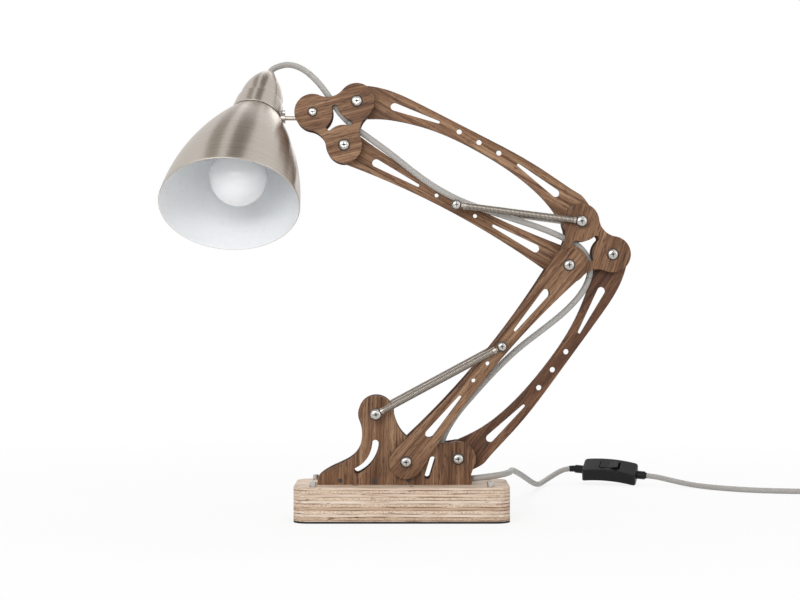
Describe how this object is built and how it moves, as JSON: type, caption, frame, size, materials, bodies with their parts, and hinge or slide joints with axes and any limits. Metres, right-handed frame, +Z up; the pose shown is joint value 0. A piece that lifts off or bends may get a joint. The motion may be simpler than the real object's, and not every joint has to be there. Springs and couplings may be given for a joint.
{
  "type": "architect desk lamp",
  "caption": "Desk lamp with a sprung walnut linkage arm on a plywood base, a tilting and swivelling spun metal shade, a lamp bulb and a grey cord with an inline rocker switch.",
  "frame": {"origin": "centre of the base's underside, on the table", "axes": "+Z up, the arms move in the XZ plane, +X away from the shade, the screw heads face -Y"},
  "size_m": [0.8443, 0.4815, 0.4797],
  "materials": {
    "walnut": "oiled walnut with a fine grain",
    "birch_ply": "sanded plywood edge and face",
    "pad_black": "matt black layer",
    "screw_steel": "bright plated steel",
    "spring_steel": "bright spring wire",
    "cast_weight": "rough",
    "shade_metal": "spun, brushed nickel tone",
    "holder_plastic": "white heat-proof plastic",
    "bulb_white": "opal white",
    "cord_cover": "grey braided yarn over rubber",
    "black_plastic": "semi-matt black",
    "brass_pin": "plated"
  },
  "bodies": {
    "base": {"base_pad": "pad_black", "base_block": "birch_ply", "base_weight": "cast_weight", "corner_screws": "screw_steel", "foot_rail": "walnut", "foot_screws": "screw_steel", "rail_screws": "screw_steel", "bracket_front": "walnut", "bracket_rear": "walnut", "base_screws": "screw_steel", "base_nuts": "screw_steel", "base_washers": "screw_steel", "cord_base": "cord_cover", "mains_cord": "cord_cover", "switch_body": "black_plastic", "lead_cord": "cord_cover", "cord_coil": "cord_cover", "plug_body": "black_plastic", "plug_pins": "brass_pin"},
    "lower_arm": {"lower_link_front": "walnut", "lower_link_rear": "walnut", "lower_spring_pin": "screw_steel", "lower_spring_sleeves": "screw_steel", "cord_lower": "cord_cover"},
    "lower_rear_arm": {"lower_arched_link": "walnut"},
    "elbow": {"elbow_plate_front": "walnut", "elbow_plate_rear": "walnut", "elbow_screws": "screw_steel", "elbow_nuts": "screw_steel", "elbow_washers": "screw_steel", "cord_elbow": "cord_cover"},
    "upper_arm": {"upper_link": "walnut", "upper_spring_pin": "screw_steel", "upper_spring_sleeves": "screw_steel", "cord_upper": "cord_cover"},
    "upper_top_arm": {"upper_arched_link": "walnut"},
    "head": {"head_plate_front": "walnut", "head_plate_rear": "walnut", "head_screws": "screw_steel", "head_nuts": "screw_steel", "head_washers": "screw_steel", "cord_head": "cord_cover"},
    "stem": {"shade_stem": "shade_metal", "rod_clip": "screw_steel", "cord_shade": "cord_cover"},
    "shade": {"shade_bell": "shade_metal", "shade_neck": "shade_metal", "neck_screw": "screw_steel", "knuckle": "shade_metal", "lamp_holder": "holder_plastic", "bulb_cap": "brass_pin", "bulb_glass": "bulb_white", "cord_grommet": "black_plastic"},
    "lower_spring": {"lower_spring_near_eyes": "spring_steel", "lower_spring_coils": "spring_steel"},
    "lower_spring_end": {"lower_spring_far_eyes": "spring_steel"},
    "upper_spring": {"upper_spring_near_eyes": "spring_steel", "upper_spring_coils": "spring_steel"},
    "upper_spring_end": {"upper_spring_far_eyes": "spring_steel"},
    "rocker": {"switch_rocker": "black_plastic"}
  },
  "joints": [
    {"name": "lower_swing", "type": "hinge", "parent": "base", "child": "lower_arm", "pos_m": [0.0045, 0, 0.0601], "axis": [0, -1, 0], "range_deg": [-6, 30], "deforming": ["cord_base"]},
    {"name": "rear_link_swing", "type": "hinge", "parent": "base", "child": "lower_rear_arm", "pos_m": [0.0582, 0, 0.0627], "axis": [0, -1, 0], "range_deg": [-6.27, 29.34]},
    {"name": "elbow_turn", "type": "hinge", "parent": "lower_arm", "child": "elbow", "pos_m": [0.17189, 0, 0.26244], "axis": [0, -1, 0], "range_deg": [-38.78, 8.16], "deforming": ["cord_lower"]},
    {"name": "upper_swing", "type": "hinge", "parent": "elbow", "child": "upper_arm", "pos_m": [0.17189, 0, 0.26244], "axis": [0, -1, 0], "range_deg": [-15, 20], "deforming": ["cord_elbow"]},
    {"name": "top_link_swing", "type": "hinge", "parent": "elbow", "child": "upper_top_arm", "pos_m": [0.185, 0, 0.30757], "axis": [0, -1, 0], "range_deg": [-15.5, 20.5]},
    {"name": "head_turn", "type": "hinge", "parent": "upper_arm", "child": "head", "pos_m": [-0.05954, 0, 0.38653], "axis": [0, -1, 0], "range_deg": [-20.5, 15.5], "deforming": ["cord_upper"]},
    {"name": "shade_tilt", "type": "hinge", "parent": "head", "child": "stem", "pos_m": [-0.09207, 0, 0.42045], "axis": [0, -1, 0], "range_deg": [-25, 25], "deforming": ["cord_head"]},
    {"name": "shade_swivel", "type": "hinge", "parent": "stem", "child": "shade", "pos_m": [-0.12, 0, 0.41535], "axis": [-1, 0, 0], "range_deg": [-80, 15], "deforming": ["cord_shade"]},
    {"name": "lower_spring_turn", "type": "hinge", "parent": "base", "child": "lower_spring", "pos_m": [-0.0265, 0, 0.1092], "axis": [0, -1, 0], "range_deg": [-6.92, 32.62]},
    {"name": "lower_spring_stretch", "type": "slide", "parent": "lower_spring", "child": "lower_spring_end", "axis": [0.8804, 0, 0.4742], "range_m": [-0.03016, 0.00643], "deforming": ["lower_spring_coils"]},
    {"name": "upper_spring_turn", "type": "hinge", "parent": "elbow", "child": "upper_spring", "pos_m": [0.185, 0, 0.30757], "axis": [0, -1, 0], "range_deg": [-14.56, 19.25]},
    {"name": "upper_spring_stretch", "type": "slide", "parent": "upper_spring", "child": "upper_spring_end", "axis": [-0.9915, 0, 0.1302], "range_m": [-0.01242, 0.0164], "deforming": ["upper_spring_coils"]},
    {"name": "rocker_press", "type": "hinge", "parent": "base", "child": "rocker", "pos_m": [0.25596, 0.32599, 0.02173], "axis": [-0.2722, -0.8229, -0.4988], "range_deg": [-12, 0]}
  ],
  "couplings": [
    {"joint": "rear_link_swing", "follows": "lower_swing", "ratio": 0.9615},
    {"joint": "elbow_turn", "follows": "lower_swing", "ratio": -1.276},
    {"joint": "lower_spring_turn", "follows": "lower_swing", "ratio": 1.0705},
    {"joint": "lower_spring_stretch", "follows": "lower_swing", "m_per_rad": -0.05665},
    {"joint": "top_link_swing", "follows": "upper_swing", "ratio": 1},
    {"joint": "head_turn", "follows": "upper_swing", "ratio": -1},
    {"joint": "upper_spring_turn", "follows": "upper_swing", "ratio": 0.9375},
    {"joint": "upper_spring_stretch", "follows": "upper_swing", "m_per_rad": 0.04555}
  ]
}
